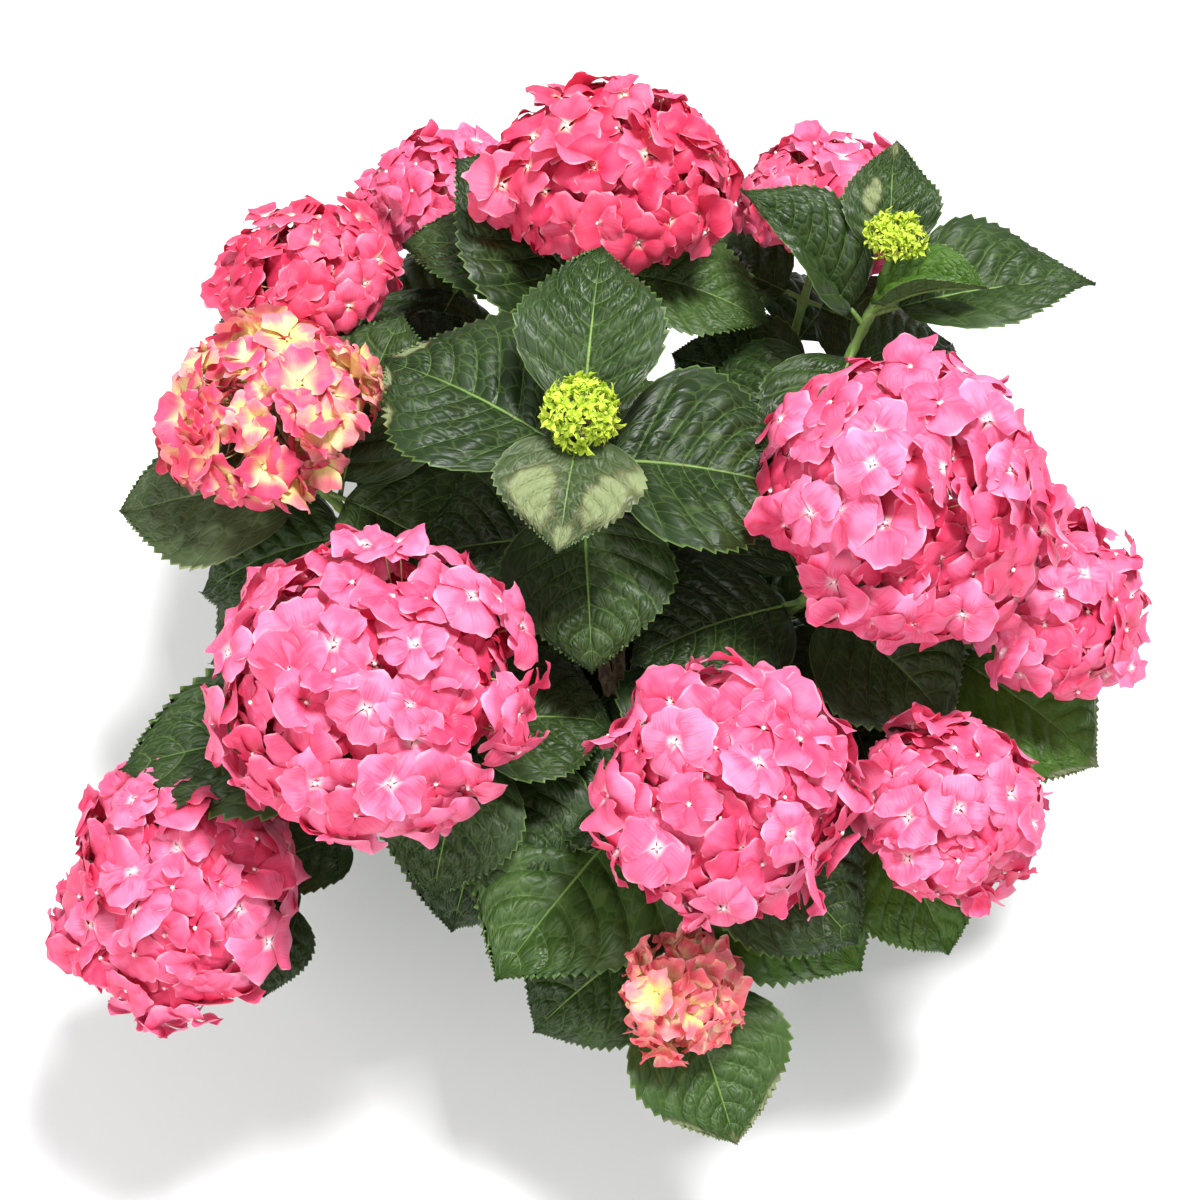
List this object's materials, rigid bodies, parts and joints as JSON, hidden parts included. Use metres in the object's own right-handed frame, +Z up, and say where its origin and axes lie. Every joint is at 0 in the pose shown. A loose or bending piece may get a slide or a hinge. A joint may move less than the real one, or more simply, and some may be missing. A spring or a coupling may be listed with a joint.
{
  "type": "potted hydrangea shrub",
  "caption": "Mophead hydrangea shrub in a plain round black pot, with broad serrated leaves, pink flower heads and green unopened heads.",
  "frame": {"origin": "middle of the pot's flat underside, on the ground", "axes": "+Z up, +Y away from the side the shrub is seen from, +X to the right from that side"},
  "size_m": [0.6712, 0.6987, 0.4975],
  "materials": {
    "pot_black": "smooth satin black plastic",
    "soil_dark": "crumbly damp potting soil",
    "bark_brown": "dry fibrous bark",
    "leaf_green": "quilted leaf with a soft sheen",
    "petal_pink": "matt thin petals",
    "petal_rose": "matt thin petals",
    "petal_young": "matt thin petals with cream middles",
    "bud_green": "matt lime green buds"
  },
  "bodies": {
    "root": {"pot": "pot_black", "soil": "soil_dark", "woody_base": "bark_brown", "cane_centre_bud": "bark_brown", "cane_right_bud": "bark_brown", "cane_top": "bark_brown", "cane_left_young": "bark_brown", "cane_right_big": "bark_brown", "cane_front_left": "bark_brown", "cane_front_mid": "bark_brown", "cane_back_left": "bark_brown", "cane_left_upper": "bark_brown", "cane_back_right": "bark_brown", "cane_right_low": "bark_brown", "cane_right_front": "bark_brown", "cane_far_left": "bark_brown", "cane_front_young": "bark_brown", "cane_low_front": "bark_brown", "cane_low_right": "bark_brown", "cane_low_back": "bark_brown", "cane_low_left": "bark_brown", "bloom_centre_bud": "bud_green", "bloom_right_bud": "bud_green", "bloom_top": "petal_rose", "bloom_left_young": "petal_young", "bloom_right_big": "petal_pink", "bloom_front_left": "petal_pink", "bloom_front_mid": "petal_pink", "bloom_back_left": "petal_rose", "bloom_left_upper": "petal_rose", "bloom_back_right": "petal_rose", "bloom_right_low": "petal_pink", "bloom_right_front": "petal_pink", "bloom_far_left": "petal_pink", "bloom_front_young": "petal_young", "leaves_centre_bud": "leaf_green", "leaves_right_bud": "leaf_green", "leaves_top": "leaf_green", "leaves_left_young": "leaf_green", "leaves_right_big": "leaf_green", "leaves_front_left": "leaf_green", "leaves_front_mid": "leaf_green", "leaves_back_left": "leaf_green", "leaves_left_upper": "leaf_green", "leaves_back_right": "leaf_green", "leaves_right_low": "leaf_green", "leaves_right_front": "leaf_green", "leaves_far_left": "leaf_green", "leaves_front_young": "leaf_green", "leaves_low_front": "leaf_green", "leaves_low_right": "leaf_green", "leaves_low_back": "leaf_green", "leaves_low_left": "leaf_green"}
  },
  "joints": []
}
